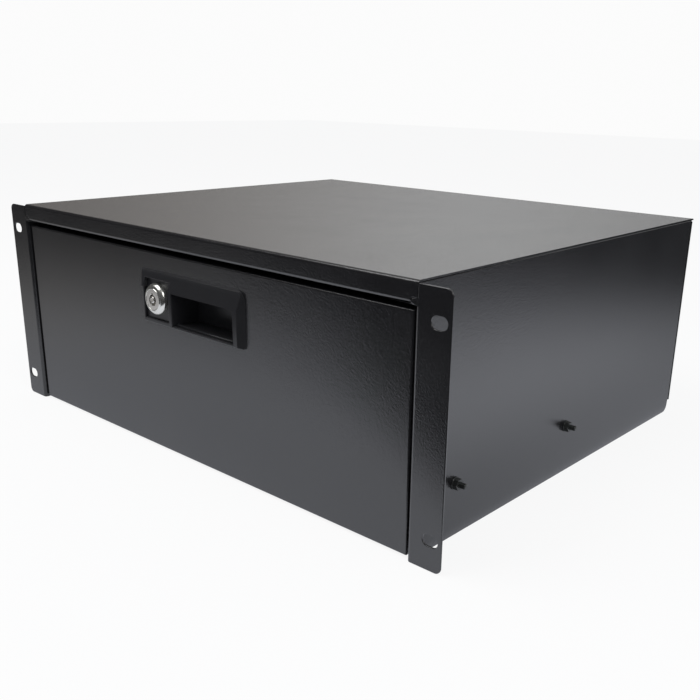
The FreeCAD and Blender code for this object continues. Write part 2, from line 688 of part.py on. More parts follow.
class SlideSection:
    # the three rolled members and two cages in section: across from the wall, up from centre
    def __init__(self):
        sheet = length("slide_sheet")
        self.sheet = sheet
        self.ball = length("ball_radius")
        self.race = self.ball + length("race_gap") + sheet / 2
        slope = math.radians(length("web_slope"))
        shift = length("row_shift")
        width = length("slide_width")
        self.innerRow = (width - sheet - length("race_gap") - self.ball - 0.68, 0)
        outerUp = length("slide_height") / 2 - sheet / 2 - self.race
        outerAcross = self.innerRow[0] - shift
        drop = (2 * self.race - shift * math.sin(slope)) / math.cos(slope)
        self.outerRow = (outerAcross, outerUp)
        self.innerRow = (self.innerRow[0], outerUp - drop)
        self.slope = slope

    def outerMember(self):
        across, up = self.outerRow
        web = self.sheet / 2
        lid = up + self.race
        fall = math.radians(75)
        lipStart = across + self.race * math.tan(fall / 2)
        lip = 1.35 * self.race
        half = [(web, lid), (lipStart, lid),
                (lipStart + lip * math.cos(fall), lid - lip * math.sin(fall))]
        bend = 1.5
        return mirroredPath(half), [self.race, bend, bend, self.race]

    def middleMember(self):
        across, up = self.outerRow
        inAcross, inUp = self.innerRow
        web = length("middle_web")
        floor = up - self.race
        lid = inUp + self.race
        middle = ((across + inAcross) / 2, (up + inUp) / 2)
        rise = math.tan(self.slope)
        fall = math.radians(50)
        lipStart = inAcross + self.race * math.tan(fall / 2)
        lip = 0.75 * self.race
        half = [(web, floor),
                (middle[0] + (floor - middle[1]) / rise, floor),
                (middle[0] + (lid - middle[1]) / rise, lid),
                (lipStart, lid),
                (lipStart + lip * math.cos(fall), lid - lip * math.sin(fall))]
        bend = min(1.5, across - web)
        radii = [self.race, self.race, self.race, bend]
        return mirroredPath(half), radii + radii[::-1]

    def innerMember(self):
        across, up = self.innerRow
        web = length("slide_width") - self.sheet / 2
        floor = up - self.race
        rise = math.radians(65)
        armStart = across - self.race * math.tan(rise / 2)
        arm = 0.72 * self.race
        half = [(web, floor), (armStart, floor),
                (armStart - arm * math.cos(rise), floor + arm * math.sin(rise))]
        bend = 1.2
        return mirroredPath(half), [self.race, bend, bend, self.race]

    def outerCage(self):
        across, up = self.outerRow
        web = length("slide_sheet + screw_head + cage_clear + cage_sheet / 2")
        bend = length("cage_bend")
        return mirroredPath([(web, up), (across + length("cage_arm"), up)]), [bend, bend]

    def innerCage(self):
        across, up = self.innerRow
        bend = length("cage_bend")
        web = length("middle_web") + self.sheet / 2 + bend
        return mirroredPath([(web, up), (across + length("cage_arm"), up)]), [bend, bend]


def alongSlide(section, start, reach):
    # extrudes a section drawn in the slide's own axes along the right-hand slide
    path, radii = section
    thickness = length("slide_sheet")
    return extrudeStrip(path, radii, thickness, start, reach)


def extrudeStrip(path, radii, thickness, start, reach):
    face = Part.Face(strip(path, radii, thickness))
    solid = face.extrude(Vector(0, 0, reach))
    # section axes: across -> -X, up -> Z, length -> Y
    turn = FreeCAD.Matrix(-1, 0, 0, length("wall_inner"),
                          0, 0, 1, start,
                          0, 1, 0, length("slide_z"),
                          0, 0, 0, 1)
    solid.transformShape(turn, True)
    return solid


def drillAcross(solid, places, radius):
    for along in places:
        hole = Part.makeCylinder(radius, length("slide_width") + 4,
                                 Vector(length("tray_half") - 2, along, length("slide_z")),
                                 Vector(1, 0, 0))
        solid = solid.cut(hole)
    return solid


def ballPlaces():
    first = length("cage_start + ball_end")
    last = length("cage_start + cage_length - ball_end")
    pitch = length("ball_pitch")
    return [first, first + pitch, last - pitch, last]


def makeCage(label, section, row):
    # a folded strip with a round hole for each ball, and its balls
    path, radii = section
    solid = extrudeStrip(path, radii, length("cage_sheet"), length("cage_start"),
                         length("cage_length"))
    across = length("wall_inner") - row[0]
    radius = length("ball_radius")
    balls = []
    for side in (1, -1):
        up = length("slide_z") + side * row[1]
        for along in ballPlaces():
            centre = Vector(across, along, up)
            hole = Part.makeCylinder(radius + length("cage_hole_gap"), 2 * radius,
                                     centre - Vector(0, 0, radius))
            solid = solid.cut(hole)
            balls.append(Part.makeSphere(radius, centre))
    return feature(f"right_{label}_cage", [solid]), feature(f"right_{label}_balls", balls)


def makeSlides():
    section = SlideSection()
    start = length("slide_start")
    reach = length("slide_length")
    hole = length("screw_radius + screw_clearance")
    outer = drillAcross(alongSlide(section.outerMember(), start, reach), fixingPlaces(), hole)
    middle = alongSlide(section.middleMember(), start, reach)
    middle = drillAcross(middle, accessPlaces(), length("access_radius"))
    inner = alongSlide(section.innerMember(), start, reach)
    inner = drillAcross(inner, drawerFixings(), length("screw_radius"))
    keep(feature("right_outer_member", [outer]))
    keep(feature("right_middle_member", [middle]))
    keep(feature("right_inner_member", [inner]))
    keep(*makeCage("outer", section.outerCage(), section.outerRow))
    keep(*makeCage("inner", section.innerCage(), section.innerRow))
    keep(makeLever())
    for thing in nodes[-8:]:
        keep(mirrorX(thing, thing.Label.replace("right_", "left_")))


def accessPlaces():
    # in the closed slide these stand over the wall's screws and the last drawer screw
    return fixingPlaces() + [length("fixing_rear")]


def makeLever():
    # flat release lever in the drawer member's channel, with a thumb tab turned out
    front = length("slide_start + lever_start")
    rear = front + length("lever_length")
    wide = length("lever_height / 2")
    waist = length("lever_waist / 2")
    sheet = length("lever_sheet")
    face = length("wall_inner - slide_width + slide_sheet")
    tab = length("lever_tab")
    middle = length("slide_z")

    def at(along, up):
        return Vector(face, along, middle + up)

    shoulder = front + 3 * wide
    edges = [
        Part.LineSegment(at(front, -wide), at(shoulder, -wide)).toShape(),
        Part.LineSegment(at(shoulder, -wide), at(shoulder + wide, -waist)).toShape(),
        Part.LineSegment(at(shoulder + wide, -waist), at(rear - waist, -waist)).toShape(),
        Part.Arc(at(rear - waist, -waist), at(rear, 0), at(rear - waist, waist)).toShape(),
        Part.LineSegment(at(rear - waist, waist), at(shoulder + wide, waist)).toShape(),
        Part.LineSegment(at(shoulder + wide, waist), at(shoulder, wide)).toShape(),
        Part.LineSegment(at(shoulder, wide), at(front, wide)).toShape(),
        Part.LineSegment(at(front, wide), at(front, -wide)).toShape(),
    ]
    blade = Part.Face(Part.Wire(edges)).extrude(Vector(sheet, 0, 0))
    thumb = Part.makeBox(tab, sheet, 2 * wide, at(front, -wide))
    return feature("right_release_lever", [blade.fuse(thumb).removeSplitter()])


def drawerFixings():
    return fixingPlaces() + [length("fixing_rear")]


def makeDrawerScrews():
    # from inside the tray into the slides' inner members
    profile = headedScrew(length("tray_sheet"), length("slide_sheet + slide_screw_end"))
    side = length("tray_half")
    up = length("slide_z")
    return feature("drawer_slide_screws", [turned(profile, (hand * side, along, up), (hand, 0, 0))
                                           for hand in (1, -1) for along in drawerFixings()])


# Drawer ----------------------------------------------------------------------------------

def makeTray():
    # one sheet: floor, walls with inturned hems, back, and a flange round the open front
    body = newBody("drawer_tray")
    inner = "tray_half - tray_sheet"
    bend = "tray_bend + tray_sheet"
    addPad(body, "tray_fold", "XZ", "front_back", "tray_back - front_back", [[
        ("-tray_half + tray_hem", "tray_top"),
        ("-tray_half", "tray_top", bend),
        ("-tray_half", "tray_floor", bend),
        ("tray_half", "tray_floor", bend),
        ("tray_half", "tray_top", bend),
        ("tray_half - tray_hem", "tray_top"),
        ("tray_half - tray_hem", "tray_top - tray_sheet"),
        (inner, "tray_top - tray_sheet", "tray_bend"),
        (inner, "tray_floor + tray_sheet", "tray_bend"),
        (f"-({inner})", "tray_floor + tray_sheet", "tray_bend"),
        (f"-({inner})", "tray_top - tray_sheet", "tray_bend"),
        ("-tray_half + tray_hem", "tray_top - tray_sheet"),
    ]])
    edge = "tray_half - tray_bend - tray_sheet"
    addPad(body, "tray_rear_wall", "XZ", "tray_back - tray_sheet", "tray_sheet",
           [box(f"-({edge})", "tray_floor + tray_sheet / 2", edge, "tray_top")])
    addPad(body, "tray_front_flange", "XZ", "front_back", "tray_sheet", [[
        (f"-({inner}) - tray_sheet / 2", "tray_top - bend_flange"),
        (f"-({inner}) - tray_sheet / 2", "tray_floor + bend_flange"),
        (f"-({inner}) + tray_bend", "tray_floor + tray_sheet / 2"),
        (f"{inner} - tray_bend", "tray_floor + tray_sheet / 2"),
        (f"{inner} + tray_sheet / 2", "tray_floor + bend_flange"),
        (f"{inner} + tray_sheet / 2", "tray_top - bend_flange"),
        ("tray_half - tray_flange", "tray_top - bend_flange"),
        ("tray_half - tray_flange", "tray_floor + tray_flange"),
        ("-tray_half + tray_flange", "tray_floor + tray_flange"),
        ("-tray_half + tray_flange", "tray_top - bend_flange"),
    ]])
    hole = "screw_radius + screw_clearance"
    addCut(body, "front_holes", "XZ", "front_back - 1", "tray_sheet + 2",
           circles=[(across, up, hole) for across, up in frontScrewPlaces])
    holes = [(along, "slide_z", hole)
             for along in ("fixing_front", "fixing_front + fixing_pitch", "fixing_rear")]
    addCut(body, "slide_holes_right", "YZ", "tray_half - tray_sheet - 1", "tray_sheet + 2",
           circles=holes)
    addCut(body, "slide_holes_left", "YZ", "-tray_half - 1", "tray_sheet + 2", circles=holes)
    return body


sideScrews = ("tray_floor + front_screw_low", "(tray_floor + tray_top) / 2",
              "tray_top - front_screw_high")
frontScrewPlaces = [(f"{side} * (tray_half - tray_flange / 2)", up)
                    for side in (1, -1) for up in sideScrews]
frontScrewPlaces += [(across, "tray_floor + tray_flange / 2")
                     for across in ("-tray_half / 2", "tray_half / 2")]


def makeFront():
    # shallow folded pan: face, rim, and lips behind it that carry the tray
    body = newBody("drawer_front")
    addPad(body, "face", "XZ", "front_recess", "front_sheet",
           [box("-front_half", "front_low", "front_half", "front_high")])
    inner = "front_half - front_sheet"
    addPad(body, "rim", "XZ", "front_recess", "front_depth",
           [box("-front_half", "front_low", "front_half", "front_high"),
            box(f"-({inner})", "front_low + front_sheet", inner, "front_high - front_sheet")])
    lip = "front_half - front_lip"
    addPad(body, "lips", "XZ", "front_back - front_sheet", "front_sheet", [[
        (f"-({inner}) - front_sheet / 2", "front_high - front_sheet - lip_drop"),
        (f"-({inner}) - front_sheet / 2", "front_low + front_sheet / 2"),
        (f"{inner} + front_sheet / 2", "front_low + front_sheet / 2"),
        (f"{inner} + front_sheet / 2", "front_high - front_sheet - lip_drop"),
        (lip, "front_high - front_sheet - lip_drop"),
        (lip, "front_low + front_lip"),
        (f"-({lip})", "front_low + front_lip"),
        (f"-({lip})", "front_high - front_sheet - lip_drop"),
    ]])
    addCut(body, "pull_window", "XZ", "front_recess - 1", "front_sheet + 2",
           [box("pull_left - mould_wall - bezel_fit", "pull_low - mould_wall - bezel_fit",
                "pull_right + mould_wall + bezel_fit", "pull_top + mould_wall + bezel_fit")],
           [("lock_x", "lock_z", "barrel_radius + bezel_fit")])
    addCut(body, "screw_holes", "XZ", "front_back - front_sheet - 1", "front_sheet + 2",
           circles=[(across, up, "screw_radius") for across, up in frontScrewPlaces])
    front = length("front_recess")
    half = length("front_half")
    middle = length("(front_low + front_high) / 2")
    rise = length("front_high") - middle
    addFillet(body, "front_folds", "front_bend",
              lambda edge: abs(edge.CenterOfMass.y - front) < 0.01
              and (abs(abs(edge.CenterOfMass.x) - half) < 0.01
                   or abs(abs(edge.CenterOfMass.z - middle) - rise) < 0.01))
    return body




def makeFrontScrews():
    # from inside the tray's front flange into the lips of the drawer front
    profile = headedScrew(0, length("tray_sheet + front_sheet + front_screw_end"))
    face = length("front_back + tray_sheet")
    return feature("front_screws", [turned(profile, (length(across), face, length(up)), (0, -1, 0))
                                    for across, up in frontScrewPlaces])


def makeBezel():
    # moulding: low plate round the lock, sloping frame with its brow, finger pocket behind
    body = newBody("handle_bezel")
    face = "front_recess"
    reach = "(lip_proud + 1)"
    addPad(body, "base", "XZ", f"{face} - lip_proud", "lip_proud", [[
        ("bezel_left", "bezel_low", "bezel_corner"),
        ("bezel_right", "bezel_low", "bezel_corner"),
        ("bezel_right", "bezel_high", "bezel_brow_corner"),
        ("bezel_left", "bezel_high", "bezel_corner"),
    ]])
    # the slope from sill to lip and back to the ridge, then the sides' draft
    addCut(body, "slope", "YZ", "bezel_left - 1", "bezel_right - bezel_left + 2", [[
        (face, "bezel_low - 1"),
        (face, "bezel_low"),
        (f"{face} - sill_proud", "bezel_low + sill_rise"),
        (f"{face} - lip_proud", "pull_high"),
        (f"{face} - brow_proud", "bezel_high - brow_drop"),
        (f"{face} - ridge_proud", "bezel_high - ridge_drop"),
        (face, "bezel_high"),
        (face, "bezel_high + 1"),
        (f"{face} - {reach}", "bezel_high + 1"),
        (f"{face} - {reach}", "bezel_low - 1"),
    ]])
    for name, edge, inward in (("right", "bezel_right", "-1"), ("left", "bezel_left", "1")):
        addCut(body, f"draft_{name}", "XY", "bezel_low - 1", "bezel_high - bezel_low + 2", [[
            (edge, face),
            (f"{edge} + ({inward}) * bezel_draft", f"{face} - lip_proud"),
            (f"{edge} + ({inward}) * bezel_draft", f"{face} - {reach}"),
            (f"{edge} - ({inward}) * 2", f"{face} - {reach}"),
            (f"{edge} - ({inward}) * 2", face),
        ]])
    # round the lock only a low plate stands, under the brow and its short return
    lowered = f"{face} - bezel_plate - {reach}"
    inside = "bezel_left + bezel_draft + leg_width"
    addCut(body, "lock_plate", "XZ", lowered, reach, [[
        ("bezel_left - 1", "bezel_low - 1"),
        ("recess_right", "bezel_low - 1"),
        ("recess_right", "recess_high"),
        (inside, "recess_high"),
        (inside, "pull_high"),
        ("bezel_left - 1", "pull_high"),
    ]])
    addCut(body, "lock_recess", "XZ", f"{face} - {reach}", f"{reach} - recess_floor", [[
        ("recess_left", "recess_low"),
        ("recess_right", "recess_low"),
        ("recess_right", "recess_high"),
        (inside, "recess_high"),
        (inside, "pull_high"),
        ("recess_left", "pull_high"),
    ]])
    addPad(body, "cup", "XZ", face, "pull_depth",
           [box("pull_left - mould_wall", "pull_low - mould_wall",
                "pull_right + mould_wall", "pull_top + mould_wall")])
    addCut(body, "pull_mouth", "XZ", f"{face} - {reach}", f"{reach} + pull_depth - mould_wall",
           [box("pull_left", "pull_low", "pull_right", "pull_high")])
    addCut(body, "pull_cavity", "XZ", face, "pull_depth - mould_wall",
           [box("pull_left", "pull_low", "pull_right", "pull_top")])
    addCut(body, "lock_hole", "XZ", f"{face} - bezel_plate - 1", "bezel_plate + 2",
           circles=[("lock_x", "lock_z", "barrel_radius + bezel_fit / 3")])
    return body


# Lock ------------------------------------------------------------------------------------



def lockTurned(profile):
    return turned(profile, (length("lock_x"), 0, length("lock_z")), (0, 1, 0))


def makeBarrel():
    # domed collar and threaded barrel, bored for the plug
    back = length("collar_back")
    front = back - length("collar_height")
    collar = length("collar_radius")
    flat = length("face_radius")
    barrel = length("barrel_radius")
    tail = length("barrel_back")
    bore = length("plug_radius + plug_fit")
    axis = Vector(length("lock_x"), 0, length("lock_z"))

    def at(along, radius):
        return axis + Vector(0, along, radius)

    rim = back - length("collar_rim")
    bow = length("collar_bow")
    middle = at((front + rim) / 2 - bow, (flat + collar) / 2 + bow)
    edges = [
        Part.LineSegment(at(front, bore), at(front, flat)).toShape(),
        Part.Arc(at(front, flat), middle, at(rim, collar)).toShape(),
        Part.LineSegment(at(rim, collar), at(back, collar)).toShape(),
        Part.LineSegment(at(back, collar), at(back, barrel)).toShape(),
        Part.LineSegment(at(back, barrel), at(tail, barrel)).toShape(),
        Part.LineSegment(at(tail, barrel), at(tail, bore)).toShape(),
        Part.LineSegment(at(tail, bore), at(front, bore)).toShape(),
    ]
    solid = Part.Face(Part.Wire(edges)).revolve(axis, Vector(0, 1, 0), 360)
    return feature("lock_barrel", [solid])


def makeLockNut():
    start = length("front_recess + front_sheet")
    nut = hexNut(length("lock_nut_flats"), length("lock_nut_height"),
                 length("barrel_radius + thread_gap"))
    nut.rotate(Vector(0, 0, 0), Vector(0, 0, 1), 90)
    nut.translate(Vector(length("lock_x"), start, length("lock_z")))
    return feature("lock_nut", [nut])


def makePlug():
    # turning plug: ring keyway with its index notch, square tail for the cam
    front = length("collar_back - collar_height + plug_sink")
    tail = length("barrel_back + cam_gap")
    radius = length("plug_radius")
    outer = length("keyway_outer")
    inner = length("keyway_inner")
    depth = length("keyway_depth")
    solid = lockTurned([(front, 0), (front, inner), (front + depth, inner),
                        (front + depth, outer), (front, outer), (front, radius),
                        (tail, radius), (tail, 0)])
    axis = Vector(length("lock_x"), 0, length("lock_z"))
    side = length("keyway_notch")
    notch = Part.makeBox(side, depth, side, axis + Vector(-side / 2, front, outer - side / 4))
    square = length("cam_square")
    drive = Part.makeBox(square, length("cam_sheet"), square,
                         axis + Vector(-square / 2, tail, -square / 2))
    hold = length("cam_screw_length")
    drill = Part.makeCylinder(length("cam_screw_radius"), 2 * hold,
                              axis + Vector(0, tail - hold, 0), Vector(0, 1, 0))
    post = Part.makeCylinder(length("keyway_bore"), depth, axis + Vector(0, front, 0),
                             Vector(0, 1, 0))
    return feature("lock_plug", [solid.cut(notch).fuse(drive).cut(drill).cut(post)])


def makeCam():
    # flat cam, level to the left when the drawer is free to open
    start = length("barrel_back + cam_gap")
    sheet = length("cam_sheet")
    half = length("cam_width / 2")
    reach = length("cam_reach")
    nose = length("cam_nose")
    axis = Vector(length("lock_x"), start, length("lock_z"))

    def at(across, up):
        return axis + Vector(-across, 0, up)

    edges = [
        Part.LineSegment(at(0, half), at(reach - nose, half * 0.8)).toShape(),
        Part.LineSegment(at(reach - nose, half * 0.8), at(reach, half * 0.3)).toShape(),
        Part.LineSegment(at(reach, half * 0.3), at(reach, -half * 0.8)).toShape(),
        Part.LineSegment(at(reach, -half * 0.8), at(0, -half)).toShape(),
        Part.Arc(at(0, -half), at(-half, 0), at(0, half)).toShape(),
    ]
    blade = Part.Face(Part.Wire(edges)).extrude(Vector(0, sheet, 0))
    square = length("cam_square + 2 * cam_fit")
    hole = Part.makeBox(square, sheet + 2, square,
                        axis + Vector(-square / 2, -1, -square / 2))
    return feature("lock_cam", [blade.cut(hole)])


def makeCamScrew():
    start = length("barrel_back + cam_gap + cam_sheet")
    hold = length("cam_screw_length")
    head = length("cam_screw_head_radius")
    cap = length("cam_screw_head")
    shank = length("cam_screw_radius - thread_gap")
    return feature("cam_screw", [lockTurned([
        (start - hold, 0), (start - hold, shank), (start, shank), (start, head),
        (start + cap * 0.6, head), (start + cap, head * 0.7), (start + cap, 0)])])


# Assembly --------------------------------------------------------------------------------

keep(makeTopPanel())
sidePanel = makeSidePanel()
keep(sidePanel, mirrorX(sidePanel, "left_side_panel"))
keep(makeRearPanel(), makeRivets(), makeSlideScrews(), makeSlideWashers(), makeSlideNuts())
makeSlides()
keep(makeDrawerScrews(), makeTray(), makeFront(), makeFrontScrews(), makeBezel())
keep(makeBarrel(), makeLockNut(), makePlug(), makeCam(), makeCamScrew())
doc.recompute()

for thing in doc.Objects:
    if "Invalid" in thing.State or "Error" in thing.State:
        raise RuntimeError(f"{thing.Label}: {thing.State}")
for pocket, base in cuts:
    if pocket.Shape.Volume > base.Shape.Volume - 1e-3:
        raise RuntimeError(f"{pocket.Label} removes nothing")

os.makedirs("parts", exist_ok=True)
for node in nodes:
    if node.Shape.isNull() or not node.Shape.isValid():
        raise RuntimeError(f"{node.Label}: bad shape")
    node.Shape.exportStep(f"parts/{node.Label}.step")
    print(f"{node.Label}: {len(node.Shape.Solids)} solids, {node.Shape.Volume:.0f} mm3")
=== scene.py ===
# Lockable 4U rack drawer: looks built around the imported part.
import json
import math

import bmesh
import bpy
from mathutils import Matrix, Vector


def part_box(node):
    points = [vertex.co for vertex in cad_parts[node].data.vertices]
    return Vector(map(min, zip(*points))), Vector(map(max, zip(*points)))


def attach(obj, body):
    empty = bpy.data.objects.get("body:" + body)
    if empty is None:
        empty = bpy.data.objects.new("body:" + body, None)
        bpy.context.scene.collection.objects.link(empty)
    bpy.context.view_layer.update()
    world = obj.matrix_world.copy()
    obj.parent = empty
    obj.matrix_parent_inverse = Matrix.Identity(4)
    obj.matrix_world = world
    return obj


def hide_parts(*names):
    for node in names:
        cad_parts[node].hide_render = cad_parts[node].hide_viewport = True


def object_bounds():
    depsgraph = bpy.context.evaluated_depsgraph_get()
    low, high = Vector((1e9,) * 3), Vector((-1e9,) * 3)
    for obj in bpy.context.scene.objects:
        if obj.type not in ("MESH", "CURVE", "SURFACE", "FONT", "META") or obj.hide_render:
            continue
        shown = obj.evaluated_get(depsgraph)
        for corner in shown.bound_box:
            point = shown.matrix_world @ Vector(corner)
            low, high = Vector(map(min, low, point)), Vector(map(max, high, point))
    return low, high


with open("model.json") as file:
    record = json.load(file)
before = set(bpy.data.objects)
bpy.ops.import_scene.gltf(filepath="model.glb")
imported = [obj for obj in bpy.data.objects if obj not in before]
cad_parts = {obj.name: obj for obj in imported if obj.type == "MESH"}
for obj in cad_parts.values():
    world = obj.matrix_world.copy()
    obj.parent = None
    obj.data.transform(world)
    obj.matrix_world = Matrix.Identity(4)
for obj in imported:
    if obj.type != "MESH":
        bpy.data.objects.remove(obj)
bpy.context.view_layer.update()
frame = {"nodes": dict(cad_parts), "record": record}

nodes = frame["nodes"]
scene = bpy.context.scene
print("frame loaded:", len(nodes), "nodes")

cameraView = {
    "place": (0.5089, -0.3691, 0.1855),
    "forward": (-0.6204, 0.7173, -0.3170),
    "right": (0.7516, 0.6593, 0.0208),
    "lens": 44.65,
    "sensor": 36,
    "shift": (-0.0406, 0.0472),
    "near": 0.02,
    "far": 30,
}


def makeCamera():
    data = bpy.data.cameras.new("camera")
    data.lens = cameraView["lens"]
    data.sensor_width = cameraView["sensor"]
    data.shift_x, data.shift_y = cameraView["shift"]
    data.clip_start = cameraView["near"]
    data.clip_end = cameraView["far"]
    camera = bpy.data.objects.new("camera", data)
    scene.collection.objects.link(camera)
    forward = Vector(cameraView["forward"]).normalized()
    right = Vector(cameraView["right"])
    right = (right - forward * right.dot(forward)).normalized()
    up = right.cross(forward)
    turn = Matrix((right, up, -forward)).transposed()
    camera.matrix_world = Matrix.Translation(cameraView["place"]) @ turn.to_4x4()
    scene.camera = camera


makeCamera()
print("camera set")


class Wire:
    # one output of a node, usable in plain arithmetic
    def __init__(self, graph, socket):
        self.graph = graph
        self.socket = socket

    def combine(self, operation, first, second):
        return self.graph.add("ShaderNodeMath", {"operation": operation}, {0: first, 1: second})

    def __add__(self, other):
        return self.combine("ADD", self, other)

    def __radd__(self, other):
        return self.combine("ADD", other, self)

    def __sub__(self, other):
        return self.combine("SUBTRACT", self, other)

    def __rsub__(self, other):
        return self.combine("SUBTRACT", other, self)

    def __mul__(self, other):
        return self.combine("MULTIPLY", self, other)

    def __rmul__(self, other):
        return self.combine("MULTIPLY", other, self)


class Graph:
    # node tree of a material or the world
    def __init__(self, tree):
        self.tree = tree
        tree.nodes.clear()

    def add(self, kind, settings=None, inputs=None, output=0):
        node = self.tree.nodes.new(kind)
        for name, value in (settings or {}).items():
            if name == "stops":
                self.setStops(node.color_ramp, value)
            else:
                setattr(node, name, value)
        for name, value in (inputs or {}).items():
            if isinstance(value, Wire):
                self.tree.links.new(value.socket, node.inputs[name])
            else:
                node.inputs[name].default_value = value
        return Wire(self, node.outputs[output]) if node.outputs else node

    def setStops(self, ramp, stops):
        while len(ramp.elements) < len(stops):
            ramp.elements.new(1)
        for element, (place, tone) in zip(ramp.elements, stops):
            element.position = place
            element.color = (tone, tone, tone, 1)

    def objectPlace(self, scale=(1, 1, 1)):
        place = self.add("ShaderNodeTexCoord", output="Object")
        return self.add("ShaderNodeMapping", {}, {"Vector": place, "Scale": scale})

    def axis(self, kind, number):
        # one of the three numbers of a place or a direction
        place = self.add("ShaderNodeTexCoord", output=kind)
        return self.add("ShaderNodeSeparateXYZ", {}, {0: place}, output=number)

    def noise(self, place, scale, detail, roughness, distortion=0.0):
        return self.add("ShaderNodeTexNoise", {}, {
            "Vector": place, "Scale": scale, "Detail": detail,
            "Roughness": roughness, "Distortion": distortion})

    def ramp(self, value, stops):
        return self.add("ShaderNodeValToRGB", {"stops": stops}, {"Fac": value})

    def step(self, value, low, high):
        # soft change from 0 at low to 1 at high
        return self.add("ShaderNodeMapRange", {"interpolation_type": "SMOOTHSTEP"}, {
            "Value": value, "From Min": low, "From Max": high})

    def mixColour(self, factor, first, second):
        return self.add("ShaderNodeMix", {"data_type": "RGBA"}, {
            "Factor": factor, 6: first, 7: second}, output=2)

    def bump(self, height, strength, distance):
        return self.add("ShaderNodeBump", {}, {
            "Height": height, "Strength": strength, "Distance": distance})

    def rays(self):
        # rays from the camera, and rays that a mirror or a clear part sends on
        camera = self.add("ShaderNodeLightPath", output="Is Camera Ray")
        glossy = self.add("ShaderNodeLightPath", output="Is Glossy Ray")
        clear = self.add("ShaderNodeLightPath", output="Is Transmission Ray")
        mirrored = self.add("ShaderNodeMath", {"operation": "MINIMUM"}, {0: glossy + clear, 1: 1.0})
        return camera, mirrored


def newMaterial(name, constants, varying):
    # varying(graph) gives the sockets that change over the surface
    material = bpy.data.materials.new(name)
    material.use_nodes = True
    graph = Graph(material.node_tree)
    inputs = dict(constants)
    inputs.update(varying(graph))
    shader = graph.add("ShaderNodeBsdfPrincipled", {}, inputs)
    graph.add("ShaderNodeOutputMaterial", {}, {"Surface": shader})
    return material


def objectFrom(mesh, name, material):
    data = bpy.data.meshes.new(name + "_shape")
    mesh.to_mesh(data)
    mesh.free()
    data.materials.append(material)
    made = bpy.data.objects.new(name, data)
    scene.collection.objects.link(made)
    return made


white = (1, 1, 1, 1)

# sheet of white paper under the object, lengths in metres
paper = {
    "size": 6.0,
    "drop": 0.0002,                 # below the object's lowest point
    "glow": 0.892,                  # how far the paper is lit up to white by itself
    "share": 0.092,                 # how much of it still takes lamplight and shadow
    "mirrorGlow": 0.90,             # the same two, as the object's sides mirror the paper
    "mirrorShare": 0.16,
    "bounceShare": 0.6,             # and as it throws soft light back
    "frontEdge": (0.10, -0.148, 31),  # x, y and slant in degrees of its front edge
    "frontSoft": 0.05,
    "frontFade": (-0.82, -0.12),    # it dims towards that edge, from y to y
    "paintedFootShade": (-0.18, -0.02, 0.16),  # painted shade, a little in front of the object: y, y and loss
    "footEnd": (0.0, 0.06),         # which ends under the object
    "leftFade": (-0.95, 0.45, 0.24, 1.32),  # from x to x, from level to level
    "farFade": (0.18, 1.06, 0.94),  # towards the wall behind: y, y and loss
    "rightFade": (0.44, 0.92, 0.75),  # x, x and loss
    "paintedSideShadow": (0.02, 0.18, 0.40),  # painted shadow of the object along its right wall: near, clear and loss
    "earReach": 0.0244,             # the wall's face lies this far inside the ear's end
    "wallSoft": (-0.004, 0.008),
    "earSoft": (-0.01, 0.03),       # the painted shadow starts behind the ears
    "warm": (1.0, 0.97, 0.95, 1),   # tint far to the left, as mirrored
    "cool": (0.97, 1.0, 1.09, 1),
    "tintChange": (-0.75, -0.15),
}


def paintedPoolOfLight(graph):
    # painted pool of light on the paper, as the object's sides mirror it: near the object, ending
    # at its front edge
    along = graph.axis("Object", 0)
    deep = graph.axis("Object", 1)
    edgeX, edgeY, slant = paper["frontEdge"]
    turn = math.radians(slant)
    inside = (deep - edgeY) * math.cos(turn) - (along - edgeX) * math.sin(turn)
    front = graph.step(inside, -paper["frontSoft"] / 2, paper["frontSoft"] / 2)
    front = front * graph.step(deep, *paper["frontFade"])
    # painted shade on the paper's mirrored glow just in front of the object, ending under it
    footStart, footStop, footShadeLoss = paper["paintedFootShade"]
    ahead = 1 - graph.step(deep, *paper["footEnd"])
    front = front * (1 - graph.step(deep, footStart, footStop) * ahead * footShadeLoss)
    start, stop, low, high = paper["leftFade"]
    level = graph.add("ShaderNodeMapRange", {}, {
        "Value": along, "From Min": start, "From Max": stop, "To Min": low, "To Max": high})
    farStart, farStop, farLoss = paper["farFade"]
    far = 1 - graph.step(deep, farStart, farStop) * farLoss
    rightStart, rightStop, rightLoss = paper["rightFade"]
    far = far * (1 - graph.step(along, rightStart, rightStop) * rightLoss)
    # painted shadow of the object on the paper's mirrored glow, beside its right wall and behind
    # the ears
    near, clear, shade = paper["paintedSideShadow"]
    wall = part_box("right_side_panel")[1].x - paper["earReach"]
    wallLow, wallHigh = paper["wallSoft"]
    beside = graph.step(along, wall + wallLow, wall + wallHigh)
    beside = beside * graph.step(deep, *paper["earSoft"])
    paintedWallShadow = 1 - (1 - graph.step(along, wall + near, wall + clear)) * beside * shade
    return front * level * far * paintedWallShadow


